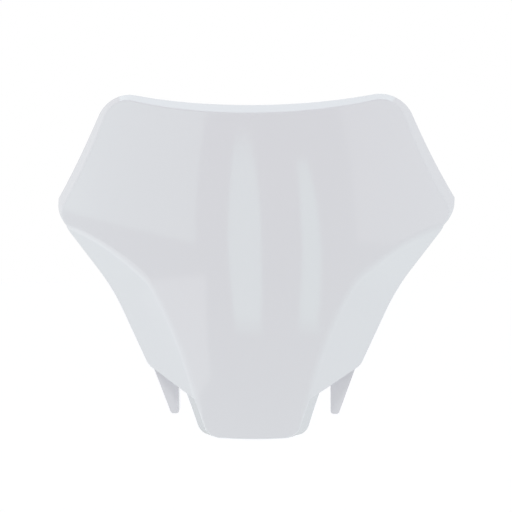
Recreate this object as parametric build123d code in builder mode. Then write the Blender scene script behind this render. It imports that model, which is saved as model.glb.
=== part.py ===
"""Racing number board: one moulded shell with a flared rim, two lugs and a screw boss.

The forms are drawn from the face's foremost point: X to the right, Y back from the face and
Z up from the level where the face is fullest. The finished board is then moved, so that its
origin is the mouth of the screw boss by which it is fixed.
"""
import os
from math import cos, radians, sin, tan

from build123d import *

# Skin of the board
plan_radius = 185.0        # curve of the face seen from above
side_radius = 300.0        # curve of the face seen from the side
wall = 2.4

# Outline of the rim, at one depth behind the foremost point
outline_depth = 40.0
top_height = 97.0
top_half_width = 89.2
side_height = 23.8
side_half_width = 120.2
under_lean = 22.0          # lean of the outline under the side corner
rim_flare = 24.0           # the rim opens backwards by this angle
rim_back_depth = 15.6      # the rim's rear edge lies on a flatter curve, this far behind the face
rim_back_plan_radius = 200.0
rim_back_side_radius = 430.0
rim_edge_bevel = 0.6       # broken edge between the face and the rim, and round the chin
rim_front = 4.0            # the rim's corners start sharp here and grow rounder towards the rear
corner_front = 0.5
top_corner_rear = 36.5
side_corner_rear = 22.0

# Cheeks: two flat panels on each side, folded back from the face and bent at an elbow
elbow_depth = 12.0
elbow_x = 62.8
elbow_z = -20.7
upper_lean = 37.6
upper_flare = 35.2
lower_lean = 24.9
lower_flare = 37.9
bend_front = 10.0          # the bend grows from a small radius to a wide one
bend_rear = 200.0
crease_radius = 8.0
cheek_rear = 45.0          # depth of the cheeks' free rear edge
step_height = 16.0         # the rear edge steps back to the rim above this height
step_slope = 45.0
cheek_foot_x = 36.3        # lower edge of the cheeks, rising outwards
cheek_foot_z = -92.0
cheek_foot_slope = 32.4
cheek_foot_radius = 0.5    # rounding along the lower edge
cheek_corner_radius = 1.8  # between the lower and the rear edge

# Chin between the cheeks
chin_depth = 20.0
chin_x = 34.4
chin_z = -96.0
chin_lean = 24.0
chin_flare = 21.0
chin_top = -70.0           # the chin's side walls run up behind the cheeks to here
chin_bottom = -117.5
chin_bottom_radius = 330.0
chin_corner_radius = 11.0
chin_wall_depth = 10.9     # of the side walls, straight back from the face

# Lugs that plug into the holder below: a flat tongue with a rib along its inner edge
lug_thickness = 3.2
lug_inner_x = 48.2
lug_tip_x = 53.2           # outer corner of the tip
lug_tip_z = -103.7
lug_lean = 19.9            # lean of the outer edge
lug_root_z = -55.0
lug_root_depth = 41.8      # front of the tongue at its root
lug_slant = 12.0           # the tongue runs backwards as it goes down
lug_tip_radius = 2.0
rib_thickness = 2.2
rib_depth = 10.0           # behind the tongue, at the root
rib_tip_depth = 4.0

# Boss for a thread-forming screw, on the centre line behind the face
boss_z = 30.0
boss_mouth = 30.0          # depth of the end that the screw enters
boss_radius = 7.0
pilot_radius = 2.4
pilot_depth = 16.0
gusset_thickness = 1.8
gusset_reach = 20.0        # from the boss's axis, at the skin
gusset_setback = 6.0       # from the boss's mouth

# Blank from which the skin is cut
blank_half_width = 131.0
blank_depth = 70.0
blank_front = -2.0
blank_half_angle = 28.0
blank_reach = 160.0


def frontal(depth):
    """Upright plane across the board, at a depth behind the foremost point."""
    return Plane.XZ.offset(-depth)


def spread(angle, rise):
    """Sideways growth of a face that opens by an angle, over a rise square to it."""
    return rise * tan(radians(angle))


def barrel(depth, plan, side):
    """Blank with a front curved in both directions, its foremost point at a depth."""
    beside = Plane(origin=(0, depth + plan, 0), x_dir=(1, 0, 0), z_dir=(0, -1, 0))
    with BuildPart() as blank:
        with BuildSketch(beside):
            with BuildLine():
                front = CenterArc((plan - side, 0), side, -blank_half_angle, 2 * blank_half_angle)
                Polyline(front @ 1, (0, (front @ 1).Y), (0, (front @ 0).Y), front @ 0)
            make_face()
        revolve(axis=Axis(beside.origin, (0, 0, -1)), revolution_arc=180)
        with BuildSketch(Plane.YZ):
            Rectangle(blank_depth, 2 * blank_reach, align=(Align.MIN, Align.CENTER))
        extrude(amount=blank_half_width, both=True, mode=Mode.INTERSECT)
    return blank.part


def face_blank(inset):
    """Blank behind the face, which is moved back by an inset square to itself."""
    return barrel(inset, plan_radius - inset, side_radius - inset)


def cheek_corners(depth, inset):
    """Foot, elbow and tip of the cheek's line at a depth, on the right side."""
    upper = spread(upper_flare, depth - elbow_depth) - inset / cos(radians(upper_flare))
    lower = spread(lower_flare, depth - elbow_depth) - inset / cos(radians(lower_flare))
    up, low = radians(upper_lean), radians(lower_lean)
    elbow = Vector(
        elbow_x + (lower * sin(up) - upper * sin(low)) / sin(up - low),
        elbow_z + (lower * cos(up) - upper * cos(low)) / sin(up - low),
    )
    foot = elbow - Vector(sin(low), cos(low)) * blank_reach
    tip = elbow + Vector(sin(up), cos(up)) * blank_reach
    return foot, elbow, tip


def outside_cheeks(inset):
    """What lies outside both cheeks, each moved inwards by an inset."""
    with BuildPart() as block:
        for depth, bend in ((blank_front, bend_front), (blank_depth, bend_rear)):
            foot, elbow, tip = cheek_corners(depth, inset)
            far = blank_half_width + blank_reach
            with BuildSketch(frontal(depth)):
                with BuildLine():
                    FilletPolyline(
                        foot, elbow, tip, (far, tip.Y), (far, foot.Y),
                        radius=[0, bend, 0, 0, 0], close=True,
                    )
                make_face()
        loft(ruled=True)
        mirror(about=Plane.YZ)
    return block.part


def outside_rim(inset):
    """What lies outside the flared rim, which is moved inwards by an inset."""
    under_x = side_half_width - spread(under_lean, side_height + blank_reach)
    right = [(under_x, -blank_reach), (side_half_width, side_height), (top_half_width, top_height)]
    left = [(-x, z) for x, z in reversed(right)]
    with BuildPart() as inside:
        for depth, top_corner, side_corner in (
            (rim_front, corner_front, corner_front),
            (blank_depth, top_corner_rear - inset, side_corner_rear - inset),
        ):
            with BuildSketch(frontal(depth)) as outline:
                with BuildLine():
                    Polyline(*right, *left, close=True)
                make_face()
                growth = spread(rim_flare, depth - outline_depth) - inset / cos(radians(rim_flare))
                offset(amount=growth, kind=Kind.INTERSECTION)
                by_width = outline.vertices().sort_by(Axis.X)
                fillet([by_width[0], by_width[-1]], side_corner)
                fillet(outline.vertices().group_by(Axis.Y)[-1], top_corner)
        loft(ruled=True)
    with BuildPart() as block:
        with BuildSketch(frontal(rim_front)):
            Rectangle(4 * blank_reach, 2 * blank_reach)
        extrude(amount=rim_front - blank_depth)
        add(inside.part, mode=Mode.SUBTRACT)
    return block.part


def folded_skin(inset):
    """Solid inside the face, the cheeks and the rim, all moved inwards by an inset."""
    blank, sides, rim = face_blank(inset), outside_cheeks(inset), outside_rim(inset)
    with BuildPart() as form:
        add(blank)
        add(sides, mode=Mode.SUBTRACT)
        face = form.faces().filter_by(GeomType.REVOLUTION)[0]
        creases = face.edges().filter_by(GeomType.CIRCLE, reverse=True)
        fillet(creases.filter_by(lambda edge: edge.center().Z < side_height), crease_radius - inset)
        add(rim, mode=Mode.SUBTRACT)
    return form.part


def foot_height(x):
    """Height of the cheeks' lower edge at a distance from the centre line."""
    return cheek_foot_z + spread(cheek_foot_slope, x - cheek_foot_x)


def foot_crossing(x, z, side_lean):
    """Where a line through a point, leaning outwards, crosses the cheeks' lower edge."""
    rise = foot_height(x) - z
    crossing_x = x + spread(side_lean, rise) / (1 - spread(side_lean, 1) * spread(cheek_foot_slope, 1))
    return crossing_x, foot_height(crossing_x)


# Side wall of the chin: a plane that leans with the chin's edge and opens backwards
lean, flare = radians(chin_lean), radians(chin_flare)
chin_wall = Plane(
    origin=(chin_x, chin_depth, chin_z),
    x_dir=(sin(lean), 0, cos(lean)),
    z_dir=(cos(lean) * cos(flare), -sin(flare), -sin(lean) * cos(flare)),
)

with BuildPart() as beside_chin:
    with BuildSketch(chin_wall):
        Rectangle(2 * blank_reach, 2 * blank_reach)
    extrude(amount=blank_reach)
    with BuildSketch(frontal(blank_front)):
        far = cheek_foot_x + blank_reach
        with BuildLine():
            Polyline(
                (0, foot_height(0)), (far, foot_height(far)), (far, -blank_reach), (0, -blank_reach),
                close=True,
            )
        make_face()
    extrude(amount=blank_front - blank_depth, mode=Mode.INTERSECT)
    mirror(about=Plane.YZ)

outer_form = folded_skin(0)
inner_form = folded_skin(wall)
rim_back = barrel(rim_back_depth, rim_back_plan_radius, rim_back_side_radius)
chin_back = Pos(0, chin_wall_depth, 0) * face_blank(0)

with BuildPart() as outside:
    add(outer_form)
    face = outside.faces().filter_by(GeomType.REVOLUTION)[0]
    chamfer(face.edges().filter_by(lambda edge: edge.center().Z > step_height), rim_edge_bevel)
    add(beside_chin.part, mode=Mode.SUBTRACT)
    with BuildSketch(frontal(blank_front)):
        with Locations((0, chin_bottom + chin_bottom_radius)):
            Circle(chin_bottom_radius)
    extrude(amount=blank_front - blank_depth, mode=Mode.INTERSECT)
    chin_floor = outside.faces().filter_by(GeomType.CYLINDER)[0]
    chin_sides = chin_floor.edges().filter_by(GeomType.LINE, reverse=True).sort_by(Axis.X)
    fillet([chin_sides[0], chin_sides[-1]], chin_corner_radius)
    face = outside.faces().filter_by(GeomType.REVOLUTION)[0]
    chamfer(face.edges().filter_by(lambda edge: edge.center().Z < chin_z), rim_edge_bevel)

with BuildPart() as chin_sides_inside:
    with BuildSketch(chin_wall):
        with Locations(((chin_top - chin_z) / cos(lean), 0)):
            Rectangle(2 * blank_reach, 2 * blank_reach, align=(Align.MAX, Align.CENTER))
    extrude(amount=-wall)
    mirror(about=Plane.YZ)
    add(chin_back, mode=Mode.SUBTRACT)

with BuildPart() as hollow:
    add(inner_form)
    add(chin_sides_inside.part, mode=Mode.SUBTRACT)

with BuildPart() as behind_rim:
    add(rim_back)
    with BuildSketch(Plane.XY.offset(step_height)):
        Rectangle(2 * blank_reach, 2 * blank_reach)
    extrude(amount=blank_reach, mode=Mode.INTERSECT)

with BuildPart() as behind_cheeks:
    with BuildSketch(Plane.YZ):
        with BuildLine():
            Polyline(
                (cheek_rear, -blank_reach), (cheek_rear, step_height),
                (cheek_rear + blank_reach, step_height + spread(step_slope, blank_reach)),
                (cheek_rear + blank_reach, -blank_reach),
                close=True,
            )
        make_face()
    extrude(amount=blank_reach, both=True)

_, elbow, _ = cheek_corners(cheek_rear, 0)
corner_x, corner_z = foot_crossing(elbow.X, elbow.Y, lower_lean)
along_foot = (cos(radians(cheek_foot_slope)), 0, sin(radians(cheek_foot_slope)))
foot_end = Plane(origin=(corner_x, cheek_rear, corner_z), x_dir=(0, 1, 0), z_dir=along_foot)

with BuildPart() as cheek_corners_cut:
    with BuildSketch(foot_end):
        Rectangle(cheek_corner_radius, cheek_corner_radius, align=(Align.MAX, Align.MIN))
        with Locations((-cheek_corner_radius, cheek_corner_radius)):
            Circle(cheek_corner_radius, mode=Mode.SUBTRACT)
    extrude(amount=cheek_corner_radius + 2 * wall, both=True)
    mirror(about=Plane.YZ)

with BuildPart() as shell:
    add(outside.part)
    add(hollow.part, mode=Mode.SUBTRACT)
    add(behind_rim.part, mode=Mode.SUBTRACT)
    add(behind_cheeks.part, mode=Mode.SUBTRACT)
    feet = shell.faces().filter_by(GeomType.PLANE).filter_by(lambda cut: cut.center().Z < elbow_z)
    feet = feet.filter_by(lambda cut: cut.normal_at().Z < -sin(lean))
    fillet([foot.edges().sort_by(SortBy.LENGTH)[-1] for foot in feet], cheek_foot_radius)
    add(cheek_corners_cut.part, mode=Mode.SUBTRACT)


# Front of the right lug, which runs down and back from its root, and the inner edge its rib stands on
slant = radians(lug_slant)
lug_back = (0, cos(slant), sin(slant))
lug_front = Plane(origin=(0, lug_root_depth, lug_root_z), x_dir=(1, 0, 0), z_dir=lug_back)
lug_edge = Plane(origin=(lug_inner_x, lug_root_depth, lug_root_z), x_dir=lug_back, z_dir=(1, 0, 0))
lug_drop = lug_root_z - lug_tip_z
lug_length = lug_drop / cos(slant)
cheek_middle = folded_skin(wall / 2)

with BuildPart() as lugs:
    with BuildSketch(lug_front):
        with BuildLine():
            FilletPolyline(
                (lug_inner_x, 0), (lug_inner_x, lug_length), (lug_tip_x, lug_length),
                (lug_tip_x + spread(lug_lean, lug_drop), 0),
                radius=[0, lug_tip_radius, lug_tip_radius, 0], close=True,
            )
        make_face()
    extrude(amount=lug_thickness)
    with BuildSketch(lug_edge):
        with BuildLine():
            Polyline(
                (0, 0), (lug_thickness, 0), (lug_thickness + rib_depth, -rib_depth),
                (lug_thickness + rib_tip_depth, lug_tip_radius - lug_length), (0, lug_tip_radius - lug_length),
                close=True,
            )
        make_face()
    extrude(amount=rib_thickness)
    add(cheek_middle, mode=Mode.INTERSECT)
    mirror(about=Plane.YZ)

boss_end = Plane(origin=(0, boss_mouth, boss_z), x_dir=(1, 0, 0), z_dir=(0, 1, 0))
skin_middle = face_blank(wall / 2)

with BuildPart() as boss:
    with BuildSketch(boss_end):
        Circle(boss_radius)
    extrude(amount=-boss_mouth)
    upright = Plane(origin=boss_end.origin, x_dir=(0, -1, 0), z_dir=(1, 0, 0))
    level = Plane(origin=boss_end.origin, x_dir=(0, -1, 0), z_dir=(0, 0, 1))
    for plane in (upright, level):
        with BuildSketch(plane):
            with BuildLine():
                Polyline(
                    (gusset_setback, boss_radius), (boss_mouth, gusset_reach),
                    (boss_mouth, -gusset_reach), (gusset_setback, -boss_radius),
                    close=True,
                )
            make_face()
        extrude(amount=gusset_thickness / 2, both=True)
    add(skin_middle, mode=Mode.INTERSECT)
    with Locations(boss_end):
        Hole(pilot_radius, pilot_depth)

with BuildPart() as number_board:
    with Locations((0, -boss_mouth, -boss_z)):
        add(shell.part)
        add(lugs.part)
        add(boss.part)

number_board.part.label = "number_board"
os.makedirs("parts", exist_ok=True)
export_step(number_board.part, "parts/number_board.step")
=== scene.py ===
import logging
import math
from dataclasses import dataclass, field
from enum import Enum
from typing import Any, Sequence, Union

import bpy
from mathutils import Matrix, Vector


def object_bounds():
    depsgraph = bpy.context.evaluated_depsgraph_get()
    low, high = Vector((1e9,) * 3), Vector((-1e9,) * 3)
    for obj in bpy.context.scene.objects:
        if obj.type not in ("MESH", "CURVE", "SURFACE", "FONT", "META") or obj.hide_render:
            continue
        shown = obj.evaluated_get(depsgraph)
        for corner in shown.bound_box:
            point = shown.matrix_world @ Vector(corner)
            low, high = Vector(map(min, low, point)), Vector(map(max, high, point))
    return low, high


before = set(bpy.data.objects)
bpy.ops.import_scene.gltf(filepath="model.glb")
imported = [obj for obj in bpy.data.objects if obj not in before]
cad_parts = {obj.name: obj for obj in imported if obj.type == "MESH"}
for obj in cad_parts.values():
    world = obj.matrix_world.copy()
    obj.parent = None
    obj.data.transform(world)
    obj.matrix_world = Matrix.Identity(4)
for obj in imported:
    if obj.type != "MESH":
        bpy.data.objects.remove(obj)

CAD_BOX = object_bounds()
LOG = logging.getLogger("number_board")

Colour = tuple[float, float, float]
Point = tuple[float, float, float]
Number = Union[int, float]

WHITE: Colour = (1.0, 1.0, 1.0)
NOISE_MIDDLE = 0.5
MIX_LOW, MIX_HIGH, MIX_RESULT = 6, 7, 2  # the places of the Mix node's colour sockets


class Ray(Enum):
    """The kinds of ray that see the plain white background."""

    CAMERA = "Is Camera Ray"
    GLOSSY = "Is Glossy Ray"
    TRANSMISSION = "Is Transmission Ray"


class Signal:
    """A shader socket that takes part in Python arithmetic."""

    def __init__(self, graph: "Graph", socket: bpy.types.NodeSocket) -> None:
        """Keep the socket and the graph that new Math nodes go into."""
        self.graph = graph
        self.socket = socket

    def _math(self, operation: str, *terms: Union["Signal", Number]) -> "Signal":
        """Add one Math node.

        Args:
            operation: The node's operation.
            terms: Its inputs in order.

        Returns:
            The node's result.
        """
        made = self.graph.node(
            "ShaderNodeMath", {"operation": operation}, dict(enumerate(terms))
        )
        return Signal(self.graph, made.outputs[0])

    def __add__(self, other: Union["Signal", Number]) -> "Signal":
        """Return self + other."""
        return self._math("ADD", self, other)

    def __radd__(self, other: Number) -> "Signal":
        """Return other + self."""
        return self._math("ADD", other, self)

    def __sub__(self, other: Union["Signal", Number]) -> "Signal":
        """Return self - other."""
        return self._math("SUBTRACT", self, other)

    def __rsub__(self, other: Number) -> "Signal":
        """Return other - self."""
        return self._math("SUBTRACT", other, self)

    def __mul__(self, other: Union["Signal", Number]) -> "Signal":
        """Return self * other."""
        return self._math("MULTIPLY", self, other)

    def __rmul__(self, other: Number) -> "Signal":
        """Return other * self."""
        return self._math("MULTIPLY", other, self)


class Graph:
    """A node tree of a material or the world, and the ways to add nodes to it."""

    def __init__(self, tree: bpy.types.NodeTree) -> None:
        """Empty the tree, so that only what is added here is in it."""
        self.tree = tree
        self.tree.nodes.clear()

    def node(
        self,
        kind: str,
        settings: dict[str, Any] | None = None,
        inputs: dict[Union[str, int], Any] | None = None,
    ) -> bpy.types.Node:
        """Add a node.

        Args:
            kind: The node's type.
            settings: Properties of the node, set before its sockets.
            inputs: Values or links of its sockets, by name or place.

        Returns:
            The node.
        """
        made = self.tree.nodes.new(kind)
        for name, value in (settings or {}).items():
            setattr(made, name, value)
        for name, value in (inputs or {}).items():
            socket = made.inputs[name]
            if isinstance(value, Signal):
                self.tree.links.new(value.socket, socket)
            elif isinstance(value, bpy.types.NodeSocket):
                self.tree.links.new(value, socket)
            else:
                socket.default_value = value
        return made

    def value(self, kind: str, output: Union[str, int], **parts: Any) -> Signal:
        """Add a node and read one output of it as a number.

        Args:
            kind: The node's type.
            output: The output's name or place.
            parts: The settings and inputs of the node.

        Returns:
            The output.
        """
        return Signal(self, self.node(kind, **parts).outputs[output])

    def fade(self, signal: Signal, start: float, end: float) -> Signal:
        """Add a smooth step.

        Args:
            signal: The number that is read.
            start: Where the step is 0.
            end: Where the step is 1.

        Returns:
            A number from 0 to 1.
        """
        return self.value(
            "ShaderNodeMapRange",
            0,
            settings={"interpolation_type": "SMOOTHSTEP"},
            inputs={"Value": signal, "From Min": start, "From Max": end},
        )

    def blend(self, share: Signal, low: Any, high: Any) -> bpy.types.NodeSocket:
        """Add a Mix node for two colours.

        Args:
            share: 0 for the first colour, 1 for the second.
            low: The first colour, or a socket.
            high: The second colour, or a socket.

        Returns:
            The mixed colour.
        """
        made = self.node(
            "ShaderNodeMix",
            {"data_type": "RGBA", "clamp_factor": True},
            {0: share, MIX_LOW: self._colour(low), MIX_HIGH: self._colour(high)},
        )
        return made.outputs[MIX_RESULT]

    def seen(self) -> Signal:
        """Add a Light Path node.

        Returns:
            1 or more for the rays that see the white background, and 0 for the others.
        """
        path = self.node("ShaderNodeLightPath").outputs
        camera, glossy, through = (Signal(self, path[ray.value]) for ray in Ray)
        return camera + glossy + through

    @staticmethod
    def _colour(value: Any) -> Any:
        """Return a colour with its alpha, or a socket as it is."""
        return (*value, 1.0) if isinstance(value, tuple) else value


def new_material(name: str) -> tuple[bpy.types.Material, Graph]:
    """Add a material with an empty graph.

    Args:
        name: The material's name.

    Returns:
        The material and its graph.
    """
    material = bpy.data.materials.new(name)
    material.use_nodes = True
    return material, Graph(material.node_tree)


@dataclass(frozen=True)
class GlossWhitePlastic:
    """Injection moulded white plastic with a polished face, its sizes in metres."""

    name: str = "gloss_white_plastic"
    tone: Colour = (0.772, 0.780, 0.812)
    drift: Colour = (0.784, 0.791, 0.820)
    drift_size: float = 0.045
    drift_layers: float = 2.0
    gloss: float = 0.08
    gloss_spread: float = 0.02
    gloss_size: float = 0.012
    gloss_layers: float = 3.0
    peel_size: float = 0.0011
    peel_layers: float = 1.0
    peel_depth: float = 0.000004
    peel_strength: float = 0.35
    refraction: float = 1.49

    def build(self) -> bpy.types.Material:
        """Make the material.

        Returns:
            The material, read from Object coordinates.
        """
        material, graph = new_material(self.name)
        place = graph.node("ShaderNodeTexCoord").outputs["Object"]
        drift = self._noise(graph, place, self.drift_size, self.drift_layers)
        scuff = self._noise(graph, place, self.gloss_size, self.gloss_layers)
        peel = self._noise(graph, place, self.peel_size, self.peel_layers)
        bump = graph.node(
            "ShaderNodeBump",
            inputs={
                "Strength": self.peel_strength,
                "Distance": self.peel_depth,
                "Height": peel,
            },
        )
        surface = graph.node(
            "ShaderNodeBsdfPrincipled",
            inputs={
                "Base Color": graph.blend(drift, self.tone, self.drift),
                "Roughness": self.gloss + (scuff - NOISE_MIDDLE) * self.gloss_spread,
                "IOR": self.refraction,
                "Normal": bump.outputs[0],
            },
        )
        graph.node("ShaderNodeOutputMaterial", inputs={0: surface.outputs[0]})
        return material

    @staticmethod
    def _noise(
        graph: Graph, place: bpy.types.NodeSocket, size: float, layers: float
    ) -> Signal:
        """Add a noise.

        Args:
            graph: The material's graph.
            place: The coordinates that it reads.
            size: The size of its spots in metres.
            layers: How many finer layers it has.

        Returns:
            A number from 0 to 1, mostly near the middle.
        """
        return graph.value(
            "ShaderNodeTexNoise",
            0,
            inputs={"Vector": place, "Scale": 1.0 / size, "Detail": layers},
        )


@dataclass(frozen=True)
class PaleFloorPaint:
    """Matt pale paint that the camera sees as white wherever no shadow falls."""

    name: str = "pale_floor_paint"
    tone: Colour = (0.80, 0.80, 0.80)
    speckle: float = 0.02
    speckles_per_metre: float = 40.0
    lift: float = 0.37

    def build(self) -> bpy.types.Material:
        """Make the material.

        Returns:
            The material.
        """
        material, graph = new_material(self.name)
        place = graph.node("ShaderNodeTexCoord").outputs["Object"]
        grain = graph.value(
            "ShaderNodeTexNoise",
            0,
            inputs={"Vector": place, "Scale": self.speckles_per_metre},
        )
        dark = tuple(channel - self.speckle for channel in self.tone)
        paint = graph.node(
            "ShaderNodeBsdfDiffuse",
            inputs={"Color": graph.blend(grain, dark, self.tone)},
        )
        glow = graph.node("ShaderNodeEmission", inputs={"Strength": self.lift})
        lifted = graph.node(
            "ShaderNodeAddShader", inputs={0: paint.outputs[0], 1: glow.outputs[0]}
        )
        surface = graph.node(
            "ShaderNodeMixShader",
            inputs={0: graph.seen(), 1: paint.outputs[0], 2: lifted.outputs[0]},
        )
        graph.node("ShaderNodeOutputMaterial", inputs={0: surface.outputs[0]})
        return material


@dataclass(frozen=True)
class StudioTent:
    """The white tent around the board, with a tone for each of its sides.

    The edges are the depths of a direction between which one side's tone fades into the next,
    and the slope is how far above and below level the low tone fades into the high one.
    """

    front_high: Colour = (0.80, 0.84, 0.82)
    front_low: Colour = (0.55, 0.47, 0.51)
    side_high: Colour = (0.68, 0.65, 0.70)
    side_low: Colour = (1.32, 1.48, 1.44)
    back_high: Colour = (1.15, 1.21, 1.24)
    back_low: Colour = (0.67, 0.60, 0.64)
    front_edge: tuple[float, float] = (-0.95, 0.15)
    back_edge: tuple[float, float] = (0.30, 0.75)
    slope: float = 0.55

    def build(self) -> None:
        """Make the world: plain white where it is seen, the tent's light on the board."""
        world = bpy.data.worlds.new("studio_tent")
        world.use_nodes = True
        bpy.context.scene.world = world
        graph = Graph(world.node_tree)
        aim = graph.node("ShaderNodeTexCoord").outputs["Generated"]
        parts = graph.node("ShaderNodeSeparateXYZ", inputs={0: aim}).outputs
        depth = Signal(graph, parts[1])
        rise = graph.fade(Signal(graph, parts[2]), -self.slope, self.slope)
        front = graph.blend(rise, self.front_low, self.front_high)
        sides = graph.blend(rise, self.side_low, self.side_high)
        back = graph.blend(rise, self.back_low, self.back_high)
        light = graph.blend(graph.fade(depth, *self.front_edge), front, sides)
        light = graph.blend(graph.fade(depth, *self.back_edge), light, back)
        background = graph.node(
            "ShaderNodeBackground",
            inputs={"Color": graph.blend(graph.seen(), light, WHITE)},
        )
        graph.node("ShaderNodeOutputWorld", inputs={0: background.outputs[0]})


class Shine(Enum):
    """What a lamp adds to the board: its image in the gloss, or its plain light."""

    IMAGE = (False, True)
    LIGHT = (True, False)


@dataclass(frozen=True)
class Softbox:
    """A flat rectangular lamp, given by one corner and the two edges from it."""

    name: str
    corner: Point
    across: Point
    upward: Point
    radiance: float
    tint: Colour = WHITE
    shine: Shine = Shine.IMAGE

    def build(self) -> bpy.types.Object:
        """Make the lamp.

        Returns:
            The lamp, which the camera doesn't see.
        """
        across, upward = Vector(self.across), Vector(self.upward)
        lamp = bpy.data.lights.new(self.name, "AREA")
        lamp.shape = "RECTANGLE"
        lamp.size = across.length
        lamp.size_y = upward.length
        lamp.energy = self.radiance * math.pi * lamp.size * lamp.size_y
        lamp.color = self.tint
        holder = bpy.data.objects.new(self.name, lamp)
        centre = Vector(self.corner) + (across + upward) / 2.0
        outward = across.cross(upward).normalized()
        if outward.dot(centre) < 0.0:
            outward.negate()
        upright = upward.normalized()
        turn = Matrix((upright.cross(outward), upright, outward)).transposed()
        holder.matrix_world = Matrix.Translation(centre) @ turn.to_4x4()
        holder.visible_camera = False
        holder.visible_diffuse, holder.visible_glossy = self.shine.value
        bpy.context.scene.collection.objects.link(holder)
        return holder


@dataclass(frozen=True)
class StripLight:
    """A tall lamp of low panels, whose width and strength follow an outline.

    Each row of the outline is a height with the left end, the right end and the share of the
    radiance there. The panels lie in one upright sheet, which may lean back and be turned to
    one side.
    """

    name: str
    rows: Sequence[tuple[float, float, float, float]]
    depth: float
    lean: float
    turn: float
    radiance: float
    tint: Colour
    panels: int = 14

    def build(self) -> list[bpy.types.Object]:
        """Make the panels.

        Returns:
            The lamps from the lowest panel to the highest.
        """
        foot, head = self.rows[0][0], self.rows[-1][0]
        rise = (head - foot) / self.panels
        return [self._panel(place, foot + place * rise, rise) for place in range(self.panels)]

    def _panel(self, place: int, base: float, rise: float) -> bpy.types.Object:
        """Make one panel.

        Args:
            place: Its place from the lowest panel.
            base: The height of its lower edge.
            rise: Its own height.

        Returns:
            The lamp.
        """
        left, right, share = self._row_at(base + rise / 2.0)
        width = right - left
        return Softbox(
            f"{self.name}_{place}",
            corner=(left, self.depth + self.lean * base + self.turn * left, base),
            across=(width, self.turn * width, 0.0),
            upward=(0.0, self.lean * rise, rise),
            radiance=self.radiance * share,
            tint=self.tint,
        ).build()

    def _row_at(self, height: float) -> list[float]:
        """Read the outline.

        Args:
            height: A height between the first row and the last.

        Returns:
            The left end, the right end and the share of the radiance at that height.
        """
        for (low, *start), (high, *end) in zip(self.rows, self.rows[1:]):
            if height <= high:
                break
        way = (height - low) / (high - low)
        return [a + (b - a) * way for a, b in zip(start, end)]


@dataclass
class NumberBoard:
    """The one-piece board, whose shape is the modelled solid."""

    node: str = "number_board"
    finish: GlossWhitePlastic = field(default_factory=GlossWhitePlastic)

    def dress(self) -> bpy.types.Object:
        """Give the board its finish.

        Returns:
            The board.
        """
        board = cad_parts[self.node]
        board.data.materials.clear()
        board.data.materials.append(self.finish.build())
        return board


def stage_sheet(
    name: str, corners: Sequence[Point], material: bpy.types.Material
) -> bpy.types.Object:
    """Add a flat sheet that is no part of the board and throws no light or shadow on it.

    Args:
        name: The sheet's name.
        corners: Its corners in order.
        material: Its material.

    Returns:
        The sheet, which diffuse and shadow rays pass by.
    """
    mesh = bpy.data.meshes.new(name)
    mesh.from_pydata(corners, [], [range(len(corners))])
    mesh.materials.append(material)
    sheet = bpy.data.objects.new(name, mesh)
    sheet.visible_diffuse = False
    sheet.visible_shadow = False
    bpy.context.scene.collection.objects.link(sheet)
    return sheet


@dataclass
class StudioFloor:
    """A wide pale floor well below the hanging board."""

    name: str = "studio_floor"
    drop: float = 0.42
    reach: float = 40.0
    paint: PaleFloorPaint = field(default_factory=PaleFloorPaint)

    def build(self) -> bpy.types.Object:
        """Make the floor.

        Returns:
            The floor, which the board's gloss doesn't show.
        """
        level = CAD_BOX[0][2] - self.drop
        corners = [
            (side * self.reach, depth * self.reach, level)
            for side, depth in ((-1, -1), (1, -1), (1, 1), (-1, 1))
        ]
        floor = stage_sheet(self.name, corners, self.paint.build())
        floor.visible_glossy = False
        return floor


@dataclass
class GreyCard:
    """An upright card behind and below the board, which darkens the gloss of the chin's flanks."""

    name: str = "grey_card"
    tone: Colour = (0.54, 0.54, 0.54)
    depth: float = 1.50
    reach: float = 1.80
    top: float = -0.30
    foot: float = -1.60

    def build(self) -> bpy.types.Object:
        """Make the card.

        Returns:
            The card, which shows in the board's gloss alone.
        """
        material, graph = new_material(self.name)
        glow = graph.node("ShaderNodeEmission", inputs={"Color": (*self.tone, 1.0)})
        graph.node("ShaderNodeOutputMaterial", inputs={0: glow.outputs[0]})
        corners = [
            (side * self.reach, self.depth, level)
            for side, level in ((-1, self.foot), (1, self.foot), (1, self.top), (-1, self.top))
        ]
        card = stage_sheet(self.name, corners, material)
        card.visible_camera = False
        return card


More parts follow.
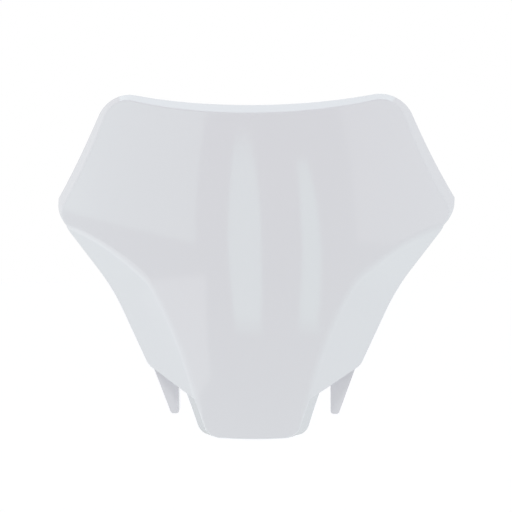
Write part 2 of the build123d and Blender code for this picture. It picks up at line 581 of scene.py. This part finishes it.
@dataclass
class Studio:
    """The tent, the floor, the grey card and the lamps."""

    tent: StudioTent = field(default_factory=StudioTent)
    floor: StudioFloor = field(default_factory=StudioFloor)
    card: GreyCard = field(default_factory=GreyCard)
    strips: Sequence[StripLight] = (
        StripLight(
            "left_strip",
            rows=(
                (-0.74, -0.30, 0.05, 0.30),
                (-0.58, -0.31, 0.05, 1.00),
                (0.00, -0.36, 0.04, 1.00),
                (0.35, -0.35, 0.02, 1.00),
                (0.70, -0.32, -0.05, 0.95),
                (0.95, -0.30, -0.14, 0.20),
            ),
            depth=-1.59,
            lean=0.12,
            turn=0.06,
            radiance=1.28,
            tint=(0.63, 1.0, 0.90),
        ),
        StripLight(
            "right_strip",
            rows=(
                (-0.74, 0.53, 0.78, 0.30),
                (-0.56, 0.53, 0.78, 1.00),
                (-0.10, 0.55, 0.78, 1.00),
                (0.35, 0.53, 0.74, 1.00),
                (0.75, 0.50, 0.64, 0.80),
            ),
            depth=-1.81,
            lean=0.03,
            turn=0.35,
            radiance=1.24,
            tint=(0.57, 1.0, 0.87),
        ),
    )
    lamps: Sequence[Softbox] = (
        Softbox(
            "upper_left_box",
            corner=(-0.69, -1.38, 0.03),
            across=(-0.38, 1.59, 0.09),
            upward=(-0.09, -0.14, 1.74),
            radiance=0.85,
            tint=(0.77, 1.0, 0.91),
        ),
        Softbox(
            "lower_left_box",
            corner=(-0.57, -1.41, -0.20),
            across=(-0.22, 1.67, 0.10),
            upward=(-0.03, 0.05, -0.85),
            radiance=0.80,
        ),
        Softbox(
            "upper_right_box",
            corner=(1.05, -1.15, 0.02),
            across=(-0.08, 1.18, -0.03),
            upward=(-0.08, 0.05, 1.55),
            radiance=0.52,
        ),
        Softbox(
            "back_box",
            corner=(-0.80, 1.10, 1.70),
            across=(1.60, 0.00, 0.00),
            upward=(0.00, 0.60, -0.60),
            radiance=0.42,
            tint=(0.67, 0.97, 1.00),
        ),
        Softbox(
            "key_box",
            corner=(-0.35, -1.94, 1.03),
            across=(0.33, 0.00, 0.00),
            upward=(0.00, 0.18, 0.28),
            radiance=15.4,
            shine=Shine.LIGHT,
        ),
    )

    def build(self) -> list[str]:
        """Make the studio.

        Returns:
            The names of what was made.
        """
        self.tent.build()
        made = [self.floor.build().name, self.card.build().name]
        made.extend(lamp.build().name for lamp in self.lamps)
        for strip in self.strips:
            made.extend(panel.name for panel in strip.build())
        return made


@dataclass
class PhotoCamera:
    """The level camera, in front and a little to the right.

    The azimuth is in degrees, the lens and the sensor are in millimetres and the rest in metres.
    """

    name: str = "photo_camera"
    azimuth: float = 3.1
    distance: float = 1.300
    target: Point = (0.0001, 0.0350, -0.0335)
    lens: float = 142.4
    sensor: float = 36.0
    sight: float = 200.0

    def build(self) -> bpy.types.Object:
        """Make the camera and set it as the scene's.

        Returns:
            The camera.
        """
        lens = bpy.data.cameras.new(self.name)
        lens.sensor_width = self.sensor
        lens.lens = self.lens
        lens.clip_end = self.sight
        camera = bpy.data.objects.new(self.name, lens)
        turn = math.radians(self.azimuth)
        forward = Vector((-math.sin(turn), math.cos(turn), 0.0))
        camera.location = Vector(self.target) - forward * self.distance
        camera.rotation_euler = (math.pi / 2.0, 0.0, turn)
        bpy.context.scene.collection.objects.link(camera)
        bpy.context.scene.camera = camera
        return camera


def main() -> None:
    """Build the camera, the board and the studio, and log each piece."""
    logging.basicConfig(level=logging.INFO, format="%(name)s: %(message)s")
    bpy.context.scene.view_settings.view_transform = "Standard"
    LOG.info("camera %s", PhotoCamera().build().name)
    LOG.info("dressed %s", NumberBoard().dress().name)
    for name in Studio().build():
        LOG.info("studio %s", name)


if __name__ == "__main__":
    main()
